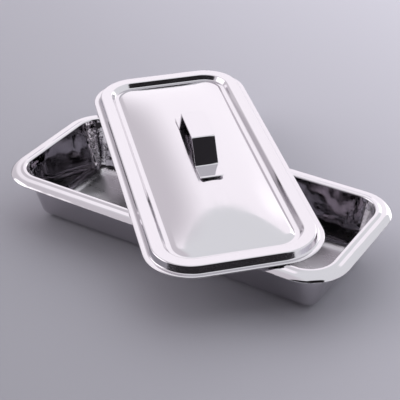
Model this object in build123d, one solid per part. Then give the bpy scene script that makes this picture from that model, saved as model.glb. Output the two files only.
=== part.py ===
from build123d import *
import math
import os

# Sheet, shared by the tray and the lid
sheet = 0.7

# Tray pan
opening_length = 197.6
opening_width = 75.2
opening_corner = 14.0
tray_height = 33.0
wall_inset = 8.4
floor_bend = 6.8
floor_start = 13.7
floor_overlap = 0.4
lip_flat = 1.9
step_run = 1.4
step_drop = 0.55
rim_crown = 7.6
rim_crown_drop = 0.8
rim_roll = 5.0
rim_reach = 9.2
rim_edge_drop = 2.7

# Lid cover
recess_length = 196.8
recess_width = 75.2
recess_corner = 15.8
lid_height = 4.6
lid_rim = 7.4
lid_lip = 3.7
recess_wall_run = 2.0
recess_depth = 2.8
ledge_width = 2.6
dome_start_run = 1.6
dome_start_rise = 0.7
dome_seat = 0.9
dome_step = 0.05
dome_over_rim = 5.7
dome_end_run = 20.0
dome_spacing = 16.0

# Strap handle
strap_width = 13.4
strap_thickness = 0.8
strap_top_length = 29.0
strap_base_length = 44.8
strap_foot = 13.2
strap_foot_lift = 1.2
strap_rise = 14.2
strap_bend = 1.3
foot_corner = 3.0

# Spot welds
weld_diameter = 3.2
weld_spacing = 6.0
weld_from_bend = 4.5

# Resting place of the lid across the tray
lid_turn = -45.0
lid_shift_x = -12.2
lid_shift_y = 23.2


def rounded_outline(length, width, corner, height):
    """Rounded rectangle lying flat at the given height."""
    with BuildSketch(Plane.XY.offset(height)) as outline:
        RectangleRounded(length, width, corner)
    return outline.sketch


def sheet_section(points, bends, thickness):
    """Bent strip of sheet whose upper side follows the points, thickness below.

    A bend of radius 0 that turns upwards is rounded below by the thickness. One that turns
    downwards takes the thickness as its radius, and is then sharp below.
    """
    with BuildSketch() as section:
        with BuildLine():
            upper = FilletPolyline(*points, radius=bends)
            offset(upper, amount=thickness, side=Side.RIGHT)
        make_face()
    return section.sketch


def ring_of_sheet(section, length, width, corner, height):
    """Section carried round a rounded rectangle, drawn with X outward and Y up."""
    path = rounded_outline(length, width, corner, height).faces()[0].outer_wire()
    start = Plane(origin=(0, width / 2, height), x_dir=(0, 1, 0), z_dir=(1, 0, 0))
    return sweep(start * section, path=path)


# Tray pan: floor, drawn wall, stepped lip and rolled-over rim in one sheet
tray_points = [
    (-floor_start, -tray_height + sheet),
    (-wall_inset, -tray_height + sheet),
    (0, 0),
    (lip_flat, 0),
    (lip_flat + step_run, -step_drop),
    (rim_crown, -rim_crown_drop),
    (rim_reach, -rim_edge_drop),
]
tray_bends = [floor_bend, sheet, 0, 0, rim_roll]
tray_section = sheet_section(tray_points, tray_bends, sheet)
tray_ring = ring_of_sheet(
    tray_section, opening_length, opening_width, opening_corner, tray_height
)
floor_inset = floor_start - floor_overlap
tray_floor = extrude(
    rounded_outline(
        opening_length - 2 * floor_inset,
        opening_width - 2 * floor_inset,
        opening_corner - floor_inset,
        0,
    ),
    amount=sheet,
)
tray_pan = tray_ring + tray_floor

# Lid cover: flared lip, skirt, flat rim and recess wall in one sheet
ledge_end = recess_wall_run + ledge_width
dome_inset = ledge_end + dome_start_run
lid_points = [
    (-dome_inset - dome_seat, dome_start_rise - recess_depth),
    (-dome_inset, dome_start_rise - recess_depth),
    (-ledge_end, -recess_depth),
    (-recess_wall_run, -recess_depth),
    (0, 0),
    (lid_rim, 0),
    (lid_rim, sheet - lid_height),
    (lid_rim + lid_lip, sheet - lid_height),
]
lid_bends = [0, 0, 0, sheet, sheet, 0]
lid_section = sheet_section(lid_points, lid_bends, sheet)
lid_ring = ring_of_sheet(
    lid_section, recess_length, recess_width, recess_corner, lid_height
)

# Lid cover: cushion-shaped panel standing up out of the recess
dome_half_length = recess_length / 2 - dome_inset
dome_half_width = recess_width / 2 - dome_inset
dome_corner = recess_corner - dome_inset
dome_base = lid_height - recess_depth + dome_start_rise + dome_step
dome_top = lid_height + dome_over_rim
dome_rise = dome_top - dome_base


def dome_height(x, y):
    """Height of the panel: an arch across it that fades out towards both ends."""
    across = 1 - (y / dome_half_width) ** 2
    at_end = math.cosh(dome_half_length / dome_end_run) - 1
    along = 1 - (math.cosh(x / dome_end_run) - 1) / at_end
    return dome_base + dome_rise * across * along


def spread(half_length):
    """Evenly spaced places from one edge of the panel to the other."""
    count = math.ceil(half_length / dome_spacing)
    return [half_length * place / count for place in range(-count, count + 1)]


dome_places = [
    [(x, y, dome_height(x, y)) for x in spread(dome_half_length)]
    for y in spread(dome_half_width)
]
dome_surface = Face.make_surface_from_array_of_points(dome_places, min_deg=3)
dome_outline = rounded_outline(
    2 * dome_half_length, 2 * dome_half_width, dome_corner, 0
)
dome_sheet = dome_surface & extrude(dome_outline, amount=dome_top + sheet)
dome_panel = extrude(dome_sheet, amount=sheet, dir=(0, 0, -1))
lid_flat = lid_ring + dome_panel

# Strap handle: flat top, leaning legs and turned-out feet bent from one strip
foot_end = strap_base_length / 2 + strap_foot
strap_points = [
    (-foot_end, strap_foot_lift),
    (-strap_base_length / 2, 0),
    (-strap_top_length / 2, strap_rise),
    (strap_top_length / 2, strap_rise),
    (strap_base_length / 2, 0),
    (foot_end, strap_foot_lift),
]
strap_section = sheet_section(strap_points, strap_bend, strap_thickness)
strap_flat = extrude(Plane.XZ * strap_section, amount=strap_width / 2, both=True)
short_edges = strap_flat.edges().filter_by(lambda edge: edge.length < 2 * strap_thickness)
left_corners = short_edges.group_by(Axis.X)[0]
right_corners = short_edges.group_by(Axis.X)[-1]
strap_rounded = fillet(left_corners + right_corners, foot_corner)
strap_low = strap_rounded.bounding_box().min.Z
strap_seat = dome_height(strap_base_length / 2, 0)
strap_on_lid = Pos(0, 0, strap_seat - strap_low) * strap_rounded

# Spot welds: two nuggets under each foot, between the strip and the panel
weld_x = strap_base_length / 2 + weld_from_bend
weld_places = [
    (side * weld_x, along * weld_spacing / 2) for side in (-1, 1) for along in (-1, 1)
]
weld_posts = [
    Pos(x, y, strap_seat) * Cylinder(weld_diameter / 2, strap_thickness + sheet)
    for x, y in weld_places
]
weld_nuggets = [
    (post - strap_on_lid - dome_panel).solids().sort_by(Axis.Z)[-1]
    for post in weld_posts
]

# Lid carried to its resting place across the tray's lip
on_tray = Pos(lid_shift_x, lid_shift_y, tray_height) * Rot(0, 0, lid_turn)
lid_cover = on_tray * lid_flat
strap_handle = on_tray * strap_on_lid
spot_welds = on_tray * Compound(children=weld_nuggets)

# One file for each node
os.makedirs("parts", exist_ok=True)
nodes = {
    "tray_pan": tray_pan,
    "lid_cover": lid_cover,
    "strap_handle": strap_handle,
    "spot_welds": spot_welds,
}
for name, shape in nodes.items():
    export_step(shape, f"parts/{name}.step")
    print(name, shape.is_valid, len(shape.solids()), round(shape.volume))
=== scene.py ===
import math

import bmesh
import bpy
from mathutils import Matrix, Vector


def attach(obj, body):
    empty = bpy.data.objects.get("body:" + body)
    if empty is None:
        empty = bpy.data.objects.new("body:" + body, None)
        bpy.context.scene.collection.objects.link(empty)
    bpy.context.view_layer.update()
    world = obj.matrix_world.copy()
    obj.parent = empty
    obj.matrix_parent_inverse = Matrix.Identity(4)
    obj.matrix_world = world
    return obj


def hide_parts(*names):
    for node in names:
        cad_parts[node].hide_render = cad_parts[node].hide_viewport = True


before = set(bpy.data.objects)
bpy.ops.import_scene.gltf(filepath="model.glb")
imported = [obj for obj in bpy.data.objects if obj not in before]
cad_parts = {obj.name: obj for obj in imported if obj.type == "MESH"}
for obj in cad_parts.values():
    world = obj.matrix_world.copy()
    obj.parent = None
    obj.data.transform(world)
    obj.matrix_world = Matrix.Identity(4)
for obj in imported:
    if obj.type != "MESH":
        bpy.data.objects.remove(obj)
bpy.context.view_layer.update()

# Tray pan. One blank of stainless steel, deep drawn over a punch and trimmed, its lip
# stepped and its rim rolled over a die, then buffed inside and out. It is built as the
# sheet lies: one bent section carried round the opening and closed by the flat floor.
MM = 0.001  # sizes are in millimetres, and Blender's unit is the metre
SHEET = 0.7
OPENING_LENGTH = 197.6
OPENING_WIDTH = 75.2
OPENING_CORNER = 14.0
TRAY_HEIGHT = 33.0
WALL_INSET = 8.4
FLOOR_START = 13.7
FLOOR_BEND = 6.8
LIP_BEND = 1.0
LIP_FLAT = 1.9
STEP_RUN = 1.4
STEP_DROP = 0.55
RIM_CROWN = 7.6
RIM_CROWN_DROP = 0.8
RIM_REACH = 9.2
RIM_EDGE_DROP = 2.7
RIM_ROLL = 5.0
TRAY_LINE = [
    (-FLOOR_START, SHEET - TRAY_HEIGHT),
    (-WALL_INSET, SHEET - TRAY_HEIGHT),
    (0, 0),
    (LIP_FLAT, 0),
    (LIP_FLAT + STEP_RUN, -STEP_DROP),
    (RIM_CROWN, -RIM_CROWN_DROP),
    (RIM_REACH, -RIM_EDGE_DROP),
]
TRAY_BENDS = [FLOOR_BEND, LIP_BEND, LIP_BEND, LIP_BEND, RIM_ROLL]
TRAY_SPACING = 6
BEND_STEP = math.radians(7)
FEWEST_STEPS = 3
EDGE_STEPS = 8
CORNER_STEPS = 20
SUPPORT = 0.15  # rows this close to a bend keep the flats beside it flat in smooth shading
SAME_PLACE = 1e-4
QUARTERS = ((1, 1), (-1, 1), (-1, -1), (1, -1))  # signs of the axes, going round once


def bent_line(points, bends):
    """Rounds a line's corners; gives each place with the way its upper side faces."""
    places = [Vector(point) for point in points]
    line = []

    def add(place, way):
        line.append((place, Vector((-way.y, way.x))))

    add(places[0], (places[1] - places[0]).normalized())
    for before, corner, after, radius in zip(places, places[1:], places[2:], bends):
        arriving = (corner - before).normalized()
        leaving = (after - corner).normalized()
        turn = -arriving.angle_signed(leaving)
        side = math.copysign(1, turn)
        reach = radius * math.tan(abs(turn) / 2)
        start = corner - arriving * reach
        centre = start + Vector((-arriving.y, arriving.x)) * side * radius
        # The support row stays between the bend and the row before it, however close that is
        room = (start - line[-1][0]).length
        add(start - arriving * min(SUPPORT, room / 2), arriving)
        steps = max(FEWEST_STEPS, math.ceil(abs(turn) / BEND_STEP))
        for step in range(steps + 1):
            way = Matrix.Rotation(turn * step / steps, 2) @ arriving
            add(centre - Vector((-way.y, way.x)) * side * radius, way)
        add(corner + leaving * (reach + SUPPORT), leaving)
    add(places[-1], (places[-1] - places[-2]).normalized())
    return line


def sheet_loop(points, bends, thickness):
    """Upper side, rounded trimmed edge and lower side of a bent sheet, in that order."""
    upper = bent_line(points, bends)
    last, facing = upper[-1]
    way = Vector((facing.y, -facing.x))
    half = thickness / 2
    upper[-1] = (last - way * half, facing)
    middle = last - way * half - facing * half
    edge = []
    for step in range(1, EDGE_STEPS):
        angle = math.pi * step / EDGE_STEPS
        edge.append(middle + facing * half * math.cos(angle) + way * half * math.sin(angle))
    lower = [place - facing * thickness for place, facing in reversed(upper)]
    return [place for place, facing in upper] + edge + lower


def round_stations(length, width, corner, spacing):
    """Places on a rounded rectangle, each with its way outwards, going round once."""
    stations = []
    for quarter, (sign_x, sign_y) in enumerate(QUARTERS):
        centre = Vector((sign_x * (length / 2 - corner), sign_y * (width / 2 - corner)))
        for step in range(CORNER_STEPS + 1):
            angle = math.pi / 2 * (quarter + step / CORNER_STEPS)
            outward = Vector((math.cos(angle), math.sin(angle)))
            stations.append((centre + outward * corner, outward))
        next_x, next_y = QUARTERS[(quarter + 1) % 4]
        following = Vector((next_x * (length / 2 - corner), next_y * (width / 2 - corner)))
        run = following - centre
        count = math.ceil(run.length / spacing)
        beside_corner = SUPPORT * 2 / run.length
        between = [step / count for step in range(1, count)]
        for share in [beside_corner] + between + [1 - beside_corner]:
            stations.append((centre + run * share + outward * corner, outward))
    return stations


def join_rows(mesh, row, following):
    """A closed band of faces between two rows of points."""
    for column in range(len(row)):
        ahead = (column + 1) % len(row)
        mesh.faces.new((row[column], row[ahead], following[ahead], following[column]))


def sheet_ring(mesh, loop, stations, base):
    """Carries a sheet's loop round the stations; gives one row of points per place of it."""
    rows = []
    for place in loop:
        spots = [spot + outward * place.x for spot, outward in stations]
        rows.append([mesh.verts.new((*spot, base + place.y)) for spot in spots])
    for row, following in zip(rows, rows[1:]):
        join_rows(mesh, row, following)
    return rows


def finish_mesh(mesh, name, place=Matrix.Identity(4)):
    """Makes the built mesh a smooth object in metres, with its place in its mesh."""
    bmesh.ops.remove_doubles(mesh, verts=mesh.verts, dist=SAME_PLACE)
    bmesh.ops.recalc_face_normals(mesh, faces=mesh.faces)
    mesh.transform(Matrix.Scale(MM, 4) @ place)
    data = bpy.data.meshes.new(name)
    mesh.to_mesh(data)
    mesh.free()
    data.shade_smooth()
    made = bpy.data.objects.new(name, data)
    bpy.context.scene.collection.objects.link(made)
    return made


tray_mesh = bmesh.new()
tray_stations = round_stations(OPENING_LENGTH, OPENING_WIDTH, OPENING_CORNER, TRAY_SPACING)
tray_loop = sheet_loop(TRAY_LINE, TRAY_BENDS, SHEET)
tray_rows = sheet_ring(tray_mesh, tray_loop, tray_stations, TRAY_HEIGHT)
tray_mesh.faces.new(tray_rows[0])
tray_mesh.faces.new(reversed(tray_rows[-1]))
tray = finish_mesh(tray_mesh, "tray_pan_polished")


def srgb(code):
    """A hex colour as linear values."""
    values = [int(code[place : place + 2], 16) / 255 for place in (1, 3, 5)]
    return [v / 12.92 if v <= 0.04045 else ((v + 0.055) / 1.055) ** 2.4 for v in values] + [1]


def add_node(tree, kind, settings=None, inputs=None, links=None):
    """One node with its settings, its socket values and its links from other nodes."""
    node = tree.nodes.new(kind)
    for key, value in (settings or {}).items():
        setattr(node, key, value)
    for key, value in (inputs or {}).items():
        node.inputs[key].default_value = value
    for key, (source, output) in (links or {}).items():
        tree.links.new(source.outputs[output], node.inputs[key])
    return node


# Buffing marks. The real peel and wheel lines are some hundredths of a millimetre wide; they
# are drawn as coarse as the render can show
PEEL_SIZE = 1.4
WHEEL_LENGTH = 60
WHEEL_WIDTH = 0.9
CLOUD_SIZE = 11
WHEEL_SHARE = 0.45  # of the gloss's changes, the rest being clouds
NOISE_LOW, NOISE_HIGH = 0.35, 0.65  # between which nearly all of a noise lies


def buffed_steel(name, colour, wave_size, wave_depth, peel_depth, dullest, glossiest, turn):
    """Steel buffed on soft wheels: long waves, fine peel, faint wheel lines, soft clouds."""
    material = bpy.data.materials.new(name)
    material.use_nodes = True
    tree = material.node_tree
    shader = tree.nodes["Principled BSDF"]
    shader.inputs["Base Color"].default_value = srgb(colour)
    shader.inputs["Metallic"].default_value = 1.0
    place = add_node(tree, "ShaderNodeTexCoord")
    turned = add_node(
        tree,
        "ShaderNodeMapping",
        inputs={"Rotation": (0, 0, math.radians(turn))},
        links={"Vector": (place, "Object")},
    )
    waves = add_node(
        tree,
        "ShaderNodeTexNoise",
        inputs={"Scale": 1 / (wave_size * MM), "Detail": 1.0, "Roughness": 0.35},
        links={"Vector": (turned, "Vector")},
    )
    wave_bump = add_node(
        tree,
        "ShaderNodeBump",
        inputs={"Strength": 1.0, "Distance": wave_depth * MM},
        links={"Height": (waves, "Fac")},
    )
    peel = add_node(
        tree,
        "ShaderNodeTexNoise",
        inputs={"Scale": 1 / (PEEL_SIZE * MM), "Detail": 2.0, "Roughness": 0.5},
        links={"Vector": (turned, "Vector")},
    )
    peel_bump = add_node(
        tree,
        "ShaderNodeBump",
        {"name": "peel"},
        {"Strength": 1.0, "Distance": peel_depth * MM},
        {"Height": (peel, "Fac"), "Normal": (wave_bump, "Normal")},
    )
    drawn_out = add_node(
        tree,
        "ShaderNodeMapping",
        inputs={
            "Scale": (1 / (WHEEL_LENGTH * MM), 1 / (WHEEL_WIDTH * MM), 1 / (WHEEL_WIDTH * MM))
        },
        links={"Vector": (turned, "Vector")},
    )
    wheel_lines = add_node(
        tree,
        "ShaderNodeTexNoise",
        inputs={"Scale": 1.0, "Detail": 2.0},
        links={"Vector": (drawn_out, "Vector")},
    )
    clouds = add_node(
        tree,
        "ShaderNodeTexNoise",
        inputs={"Scale": 1 / (CLOUD_SIZE * MM), "Detail": 3.0},
        links={"Vector": (turned, "Vector")},
    )
    marks = add_node(
        tree,
        "ShaderNodeMixRGB",
        inputs={"Fac": WHEEL_SHARE},
        links={"Color1": (clouds, "Fac"), "Color2": (wheel_lines, "Fac")},
    )
    gloss = add_node(
        tree,
        "ShaderNodeMapRange",
        {"name": "gloss"},
        {
            "From Min": NOISE_LOW,
            "From Max": NOISE_HIGH,
            "To Min": glossiest,
            "To Max": dullest,
        },
        {"Value": (marks, "Color")},
    )
    tree.links.new(gloss.outputs["Result"], shader.inputs["Roughness"])
    tree.links.new(peel_bump.outputs["Normal"], shader.inputs["Normal"])
    return material


# Deep-drawn stainless steel, buffed: nearly a mirror, but the stretched walls are wavy, so
# what they show is broken into streaks
drawn_steel = buffed_steel(
    "deep-drawn stainless steel, buffed",
    "#CFCCD0",
    wave_size=12,
    wave_depth=0.22,
    peel_depth=0.004,
    dullest=0.07,
    glossiest=0.02,
    turn=0,
)
# At the four corners the sheet was gathered, and the wheel can't reach the upright wrinkles
# and pebbles there, which sparkle. GATHERED says where: for each axis, the distances from
# the tray's middle between which the marks change from one share to the other
WRINKLE_WIDTH = 3.2
WRINKLE_LENGTH = 26
PEBBLE_SIZE = 2.4
PEBBLE_SHARE = 0.35
CORNER_MARK_DEPTH = 0.5
GATHERED = {"X": (74, 88, 0, 1), "Y": (16, 27, 0, 1), "Z": (27, 31, 1, 0)}
tree = drawn_steel.node_tree
place = add_node(tree, "ShaderNodeTexCoord")
upright = add_node(
    tree,
    "ShaderNodeMapping",
    inputs={
        "Scale": (
            1 / (WRINKLE_WIDTH * MM),
            1 / (WRINKLE_WIDTH * MM),
            1 / (WRINKLE_LENGTH * MM),
        )
    },
    links={"Vector": (place, "Object")},
)
wrinkles = add_node(
    tree,
    "ShaderNodeTexNoise",
    inputs={"Scale": 1.0, "Detail": 1.5},
    links={"Vector": (upright, "Vector")},
)
pebbles = add_node(
    tree,
    "ShaderNodeTexNoise",
    inputs={"Scale": 1 / (PEBBLE_SIZE * MM), "Detail": 2.0},
    links={"Vector": (place, "Object")},
)
corner_marks = add_node(
    tree,
    "ShaderNodeMixRGB",
    inputs={"Fac": PEBBLE_SHARE},
    links={"Color1": (wrinkles, "Fac"), "Color2": (pebbles, "Fac")},
)
distances = add_node(
    tree,
    "ShaderNodeVectorMath",
    {"operation": "ABSOLUTE"},
    links={0: (place, "Object")},
)
from_middle = add_node(tree, "ShaderNodeSeparateXYZ", links={"Vector": (distances, "Vector")})
height = (corner_marks, "Color")
for axis, (start, end, before, beyond) in GATHERED.items():
    share = add_node(
        tree,
        "ShaderNodeMapRange",
        {"interpolation_type": "SMOOTHSTEP"},
        {"From Min": start * MM, "From Max": end * MM, "To Min": before, "To Max": beyond},
        {"Value": (from_middle, axis)},
    )
    kept = add_node(
        tree,
        "ShaderNodeMath",
        {"operation": "MULTIPLY"},
        links={0: height, 1: (share, "Result")},
    )
    height = (kept, "Value")
corner_bump = add_node(
    tree,
    "ShaderNodeBump",
    inputs={"Strength": 1.0, "Distance": CORNER_MARK_DEPTH * MM},
    links={"Height": height, "Normal": (tree.nodes["peel"], "Normal")},
)
# Instruments slide about on the floor, which has gone dull; its bend is glossy again
DULL_BELOW = 1.2
GLOSSY_ABOVE = 4.5
WEAR = 0.24
wear = add_node(
    tree,
    "ShaderNodeMapRange",
    {"interpolation_type": "SMOOTHSTEP"},
    {
        "From Min": DULL_BELOW * MM,
        "From Max": GLOSSY_ABOVE * MM,
        "To Min": WEAR,
        "To Max": 0.0,
    },
    {"Value": (from_middle, "Z")},
)
worn_gloss = add_node(
    tree,
    "ShaderNodeMath",
    {"operation": "ADD"},
    links={0: (tree.nodes["gloss"], "Result"), 1: (wear, "Result")},
)
shader = tree.nodes["Principled BSDF"]
tree.links.new(corner_bump.outputs["Normal"], shader.inputs["Normal"])
tree.links.new(worn_gloss.outputs["Value"], shader.inputs["Roughness"])
tray.data.materials.append(drawn_steel)
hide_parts("tray_pan")
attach(tray, "tray")

# Lid cover. One sheet of stainless steel, pressed in a die: flared lip, leaning skirt, flat
# rim, recess and the cushion-shaped panel that rises out of it. It lies loose across the
# tray's lip, turned by 45 degrees, as it was set down.
RECESS_LENGTH = 196.8
RECESS_WIDTH = 75.2
RECESS_CORNER = 15.8
RECESS_DEPTH = 2.8
WALL_RUN = 2.0
LEDGE = 2.6
LID_HEIGHT = 4.6
LID_RIM = 7.4
LID_LIP = 3.7
SKIRT_LEAN = 0.75
DOME_RUN = 1.6
DOME_RISE = 1.0
DOME_BEND = 1.2
DOME_INSET = WALL_RUN + LEDGE + DOME_RUN
DOME_OVER_RIM = 5.7
DOME_END_RUN = 20.0
DOME_ROWS = 28
LID_BEND = 0.9
LID_SPACING = 4
LID_SHIFT = (-12.2, 23.2)
LID_TURN = math.radians(-45)
LID_PLACE = Matrix.Translation((*LID_SHIFT, TRAY_HEIGHT)) @ Matrix.Rotation(LID_TURN, 4, "Z")
LID_LINE = [
    (-DOME_INSET, DOME_RISE - RECESS_DEPTH),
    (-WALL_RUN - LEDGE, -RECESS_DEPTH),
    (-WALL_RUN, -RECESS_DEPTH),
    (0, 0),
    (LID_RIM - SKIRT_LEAN, 0),
    (LID_RIM + SKIRT_LEAN, SHEET - LID_HEIGHT),
    (LID_RIM + LID_LIP, SHEET - LID_HEIGHT),
]
LID_BENDS = [DOME_BEND, LID_BEND, LID_BEND, LID_BEND, LID_BEND]
dome_half_length = RECESS_LENGTH / 2 - DOME_INSET
dome_half_width = RECESS_WIDTH / 2 - DOME_INSET
dome_base = LID_HEIGHT - RECESS_DEPTH + DOME_RISE
dome_height = LID_HEIGHT + DOME_OVER_RIM - dome_base


def dome_at(x, y):
    """Height of the panel: an arch across it that fades out towards both ends."""
    across = 1 - (y / dome_half_width) ** 2
    at_end = math.cosh(dome_half_length / DOME_END_RUN) - 1
    along = 1 - (math.cosh(x / DOME_END_RUN) - 1) / at_end
    return dome_base + dome_height * across * along


lid_mesh = bmesh.new()
lid_stations = round_stations(RECESS_LENGTH, RECESS_WIDTH, RECESS_CORNER, LID_SPACING)
lid_loop = sheet_loop(LID_LINE, LID_BENDS, SHEET)
lid_rows = sheet_ring(lid_mesh, lid_loop, lid_stations, LID_HEIGHT)
# The panel's rows close in from the ring on a line along its middle
middle_half = dome_half_length - dome_half_width
for edge_row, drop in ((lid_rows[0], 0), (lid_rows[-1], SHEET)):
    row = edge_row
    for step in range(1, DOME_ROWS + 1):
        share = 1 - step / DOME_ROWS
        inner = []
        for vert in edge_row:
            nearest = Vector((max(-middle_half, min(middle_half, vert.co.x)), 0))
            flat = nearest + (vert.co.xy - nearest) * share
            inner.append(lid_mesh.verts.new((*flat, dome_at(*flat) - drop)))
        join_rows(lid_mesh, row, inner)
        row = inner
lid = finish_mesh(lid_mesh, "lid_cover_polished", LID_PLACE)
# Pressed stainless steel, buffed: flatter than the tray and softer in its gloss, so the lid
# shows broad smooth reflections with blurred edges
pressed_steel = buffed_steel(
    "pressed stainless steel, buffed",
    "#D0CDD1",
    wave_size=30,
    wave_depth=0.05,
    peel_depth=0.003,
    dullest=0.16,
    glossiest=0.06,
    turn=45,
)
lid.data.materials.append(pressed_steel)
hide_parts("lid_cover")
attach(lid, "lid")

# Strap handle. A half-inch strip of stainless steel with rounded edges, bent four times
# into a flat top, two leaning legs and two turned-out feet with rounded corners. Its feet
# lie on the lid's panel, which they are spot-welded to.
STRAP_WIDTH = 13.4
STRAP_THICKNESS = 0.8
STRAP_TOP = 29.0
STRAP_BASE = 44.8
STRAP_FOOT = 13.2
STRAP_FOOT_LIFT = 0.25
STRAP_RISE = 14.2
STRAP_BEND = 1.3
FOOT_CORNER = 2.0
EDGE_ROUND = 0.3
EDGE_PARTS = 4
END_SHARES = (0, 0.04, 0.15, 0.4, 0.7)  # places along the round of a foot's end
STRAP_SPACING = 0.6
SHORTEST_FILLED = 2
STRAIGHT = math.radians(0.5)
strap_end = STRAP_BASE / 2 + STRAP_FOOT
STRAP_LINE = [
    (-strap_end, STRAP_FOOT_LIFT),
    (-STRAP_BASE / 2, 0),
    (-STRAP_TOP / 2, STRAP_RISE),
    (STRAP_TOP / 2, STRAP_RISE),
    (STRAP_BASE / 2, 0),
    (strap_end, STRAP_FOOT_LIFT),
]


def corner_inset(distance, radius):
    """How far a rounded corner stands in at a distance from its end."""
    if distance >= radius:
        return 0.0
    return radius - math.sqrt(max(radius**2 - (radius - distance) ** 2, 0))


def fill_in(line, spacing):
    """Adds places on a line's straight runs."""
    filled = []
    for (place, facing), (following, ahead) in zip(line, line[1:]):
        filled.append((place, facing))
        run = (following - place).length
        if run > SHORTEST_FILLED and facing.angle(ahead) < STRAIGHT:
            count = math.ceil(run / spacing)
            for part in range(1, count):
                filled.append((place.lerp(following, part / count), facing))
    filled.append(line[-1])
    return filled


# The last two places at each end of the strip give way to closer ones, which round its edge
bends = [STRAP_BEND] * (len(STRAP_LINE) - 2)
strap_line = fill_in(bent_line(STRAP_LINE, bends), STRAP_SPACING)
first, first_facing = strap_line[0]
first_way = Vector((first_facing.y, -first_facing.x))
last, last_facing = strap_line[-1]
last_way = Vector((last_facing.y, -last_facing.x))
ends = [share * EDGE_ROUND for share in END_SHARES]
strap_line = (
    [(first + first_way * reach, first_facing) for reach in ends]
    + strap_line[2:-2]
    + [(last - last_way * reach, last_facing) for reach in reversed(ends)]
)
travelled = [0.0]
for (place, facing), (following, ahead) in zip(strap_line, strap_line[1:]):
    travelled.append(travelled[-1] + (following - place).length)
strap_mesh = bmesh.new()
strap_rows = []
for (place, facing), run in zip(strap_line, travelled):
    to_end = min(run, travelled[-1] - run)
    end_inset = corner_inset(to_end, EDGE_ROUND)
    half_width = STRAP_WIDTH / 2 - corner_inset(to_end, FOOT_CORNER) - end_inset
    half_thickness = STRAP_THICKNESS / 2 - end_inset
    middle = place - facing * STRAP_THICKNESS / 2
    radius = min(EDGE_ROUND, half_thickness)
    row = []
    for quarter, (sign_y, sign_z) in enumerate(QUARTERS):
        for part in range(EDGE_PARTS + 1):
            angle = math.pi / 2 * (quarter + part / EDGE_PARTS)
            across = sign_y * (half_width - radius) + radius * math.cos(angle)
            up = sign_z * (half_thickness - radius) + radius * math.sin(angle)
            spot = middle + facing * up
            row.append(strap_mesh.verts.new((spot.x, across, spot.y)))
    strap_rows.append(row)
for row, following in zip(strap_rows, strap_rows[1:]):
    join_rows(strap_mesh, row, following)
strap_mesh.faces.new(strap_rows[0])
strap_mesh.faces.new(reversed(strap_rows[-1]))
strap_low = min(vert.co.z for vert in strap_mesh.verts)
strap_seat = dome_at(STRAP_BASE / 2, 0) - strap_low
strap_place = LID_PLACE @ Matrix.Translation((0, 0, strap_seat))
strap = finish_mesh(strap_mesh, "strap_handle_polished", strap_place)
# Stainless strip, buffed: rolled flat before it was bent, so it has hardly any waves and
# each of its faces shows one even tone
strip_steel = buffed_steel(
    "stainless strip, buffed",
    "#D0CDD1",
    wave_size=40,
    wave_depth=0.02,
    peel_depth=0.002,
    dullest=0.12,
    glossiest=0.05,
    turn=45,
)
strap.data.materials.append(strip_steel)
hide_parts("strap_handle")
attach(strap, "lid")

# Spot welds. Two under each foot of the strap, where strip and lid were pinched between
# electrodes and fused. The CAD solids stay, and only their edges can be seen.
WELD_GRAIN = 0.7
WELD_ROUGHNESS = 0.38
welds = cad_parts["spot_welds"]
# Fused stainless steel: never buffed, so it is dull, with straw and grey tints of the heat
fused_steel = bpy.data.materials.new("fused stainless steel")
fused_steel.use_nodes = True
tree = fused_steel.node_tree
shader = tree.nodes["Principled BSDF"]
shader.inputs["Metallic"].default_value = 1.0
shader.inputs["Roughness"].default_value = WELD_ROUGHNESS
place = add_node(tree, "ShaderNodeTexCoord")
grain = add_node(
    tree,
    "ShaderNodeTexNoise",
    inputs={"Scale": 1 / (WELD_GRAIN * MM)},
    links={"Vector": (place, "Object")},
)
tint = add_node(tree, "ShaderNodeValToRGB", links={"Fac": (grain, "Fac")})
tint.color_ramp.elements[0].color = srgb("#9A8F86")
tint.color_ramp.elements[1].color = srgb("#B9B6B4")
tree.links.new(tint.outputs["Color"], shader.inputs["Base Color"])
welds.data.materials.clear()
welds.data.materials.append(fused_steel)

# Floor. A wide sheet of grey backdrop paper. It isn't part of the object.
FLOOR_HALF = 6000
PAPER_ROUGHNESS = 0.9
# Painted shade on the paper: the way along which its colour changes, and the near and far
# ends of that change
PAINTED_SHADE_AWAY = (0.42, 0.91, 0)
PAINTED_SHADE_NEAR = -260
PAINTED_SHADE_FAR = 420
floor_mesh = bmesh.new()
bmesh.ops.create_grid(floor_mesh, x_segments=1, y_segments=1, size=FLOOR_HALF)
floor = finish_mesh(floor_mesh, "floor")
# Matt grey paper with painted shade: its colour is painted darker towards the near side and
# paler towards the far side, standing in for the studio's lamp lighting it unevenly
paper = bpy.data.materials.new("matt grey paper")
paper.use_nodes = True
tree = paper.node_tree
shader = tree.nodes["Principled BSDF"]
shader.inputs["Roughness"].default_value = PAPER_ROUGHNESS
place = add_node(tree, "ShaderNodeTexCoord")
away = add_node(
    tree,
    "ShaderNodeVectorMath",
    {"operation": "DOT_PRODUCT"},
    {1: PAINTED_SHADE_AWAY},
    {0: (place, "Object")},
)
painted_shade_share = add_node(
    tree,
    "ShaderNodeMapRange",
    inputs={"From Min": PAINTED_SHADE_NEAR * MM, "From Max": PAINTED_SHADE_FAR * MM},
    links={"Value": (away, "Value")},
)
paper_and_painted_shade = add_node(tree, "ShaderNodeValToRGB", links={"Fac": (painted_shade_share, "Result")})
paper_and_painted_shade.color_ramp.elements[0].color = srgb("#9C9BA2")
paper_and_painted_shade.color_ramp.elements[1].color = srgb("#EFEDF7")
painted_middle_shade = paper_and_painted_shade.color_ramp.elements.new(0.5)
painted_middle_shade.color = srgb("#C4C2CB")
tree.links.new(paper_and_painted_shade.outputs["Color"], shader.inputs["Base Color"])
floor.data.materials.append(paper)

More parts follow.
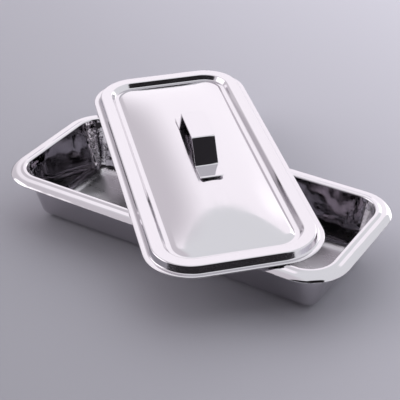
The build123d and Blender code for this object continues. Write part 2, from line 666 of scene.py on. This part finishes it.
# Studio. The world is the light: soft white panels, two lamps with a hot middle, and dark
# openings for the steel to reflect. These are strengths of light, so they are linear, and
# the panels' are above 1.
BACK_PANEL = (1.42, 1.37, 1.43, 1)
HOT_PANEL = (2.2, 2.15, 2.2, 1)
SEAM = (0.95, 0.94, 0.97, 1)
OVERHEAD = (1.02, 1.04, 1.07, 1)
LEFT_GREY = (0.86, 0.82, 0.87, 1)
DARK_SIDE = (0.03, 0.028, 0.032, 1)
DARK_SLOT = (0.02, 0.018, 0.02, 1)
# Each zone lies over those before it: its light, the azimuth and elevation of its middle
# and the angle out to its edge in degrees, and its edge's softness as a part of the cosine
ZONES = [
    (HOT_PANEL, 72, 20, 26, 0.03),
    (SEAM, -36.3, 42.7, 90, 0.01),
    (OVERHEAD, -36.3, 44.4, 90, 0.01),
    (LEFT_GREY, 213, 10, 68.9, 0.16),
    (HOT_PANEL, -156, 24, 22, 0.02),
    (DARK_SIDE, -66, 8, 56, 0.03),
    (DARK_SLOT, -38, 57, 15, 0.01),
]
world = bpy.data.worlds.new("studio")
world.use_nodes = True
bpy.context.scene.world = world
sky = world.node_tree
sky_way = add_node(sky, "ShaderNodeTexCoord")


def way_to(azimuth, elevation):
    """Unit direction from angles in degrees."""
    turn = math.radians(azimuth)
    rise = math.radians(elevation)
    flat = math.cos(rise)
    return Vector((math.cos(turn) * flat, math.sin(turn) * flat, math.sin(rise)))


layer = None
for light, azimuth, elevation, reach, softness in ZONES:
    edge = math.cos(math.radians(reach))
    near = add_node(
        sky,
        "ShaderNodeVectorMath",
        {"operation": "DOT_PRODUCT"},
        {1: way_to(azimuth, elevation)},
        {0: (sky_way, "Generated")},
    )
    share = add_node(
        sky,
        "ShaderNodeMapRange",
        {"interpolation_type": "SMOOTHSTEP"},
        {"From Min": edge - softness, "From Max": edge + softness},
        {"Value": (near, "Value")},
    )
    over = add_node(
        sky,
        "ShaderNodeMixRGB",
        inputs={"Color1": BACK_PANEL, "Color2": light},
        links={"Fac": (share, "Result")},
    )
    if layer:
        sky.links.new(layer.outputs["Color"], over.inputs["Color1"])
    layer = over
sky.links.new(layer.outputs["Color"], sky.nodes["Background"].inputs["Color"])

# Camera, at the photograph's viewing angle. Its place, target and roll were fitted to the
# outlines of tray and lid.
CAMERA_PLACE = Vector((297.4, -453.2, 381.2))
CAMERA_TARGET = Vector((10.1, -10.8, 33.0))
CAMERA_ROLL = math.radians(-1.5)
SENSOR_WIDTH = 36
LENS = 102.85
CLIP_END = 20000
camera_data = bpy.data.cameras.new("camera")
camera_data.sensor_width = SENSOR_WIDTH
camera_data.lens = LENS
camera_data.clip_end = CLIP_END * MM
camera = bpy.data.objects.new("camera", camera_data)
bpy.context.scene.collection.objects.link(camera)
look = (CAMERA_TARGET - CAMERA_PLACE).to_track_quat("-Z", "Y").to_matrix().to_4x4()
roll = Matrix.Rotation(CAMERA_ROLL, 4, "Z")
camera.matrix_world = Matrix.Translation(CAMERA_PLACE * MM) @ look @ roll
bpy.context.scene.camera = camera
bpy.context.scene.view_settings.view_transform = "Standard"
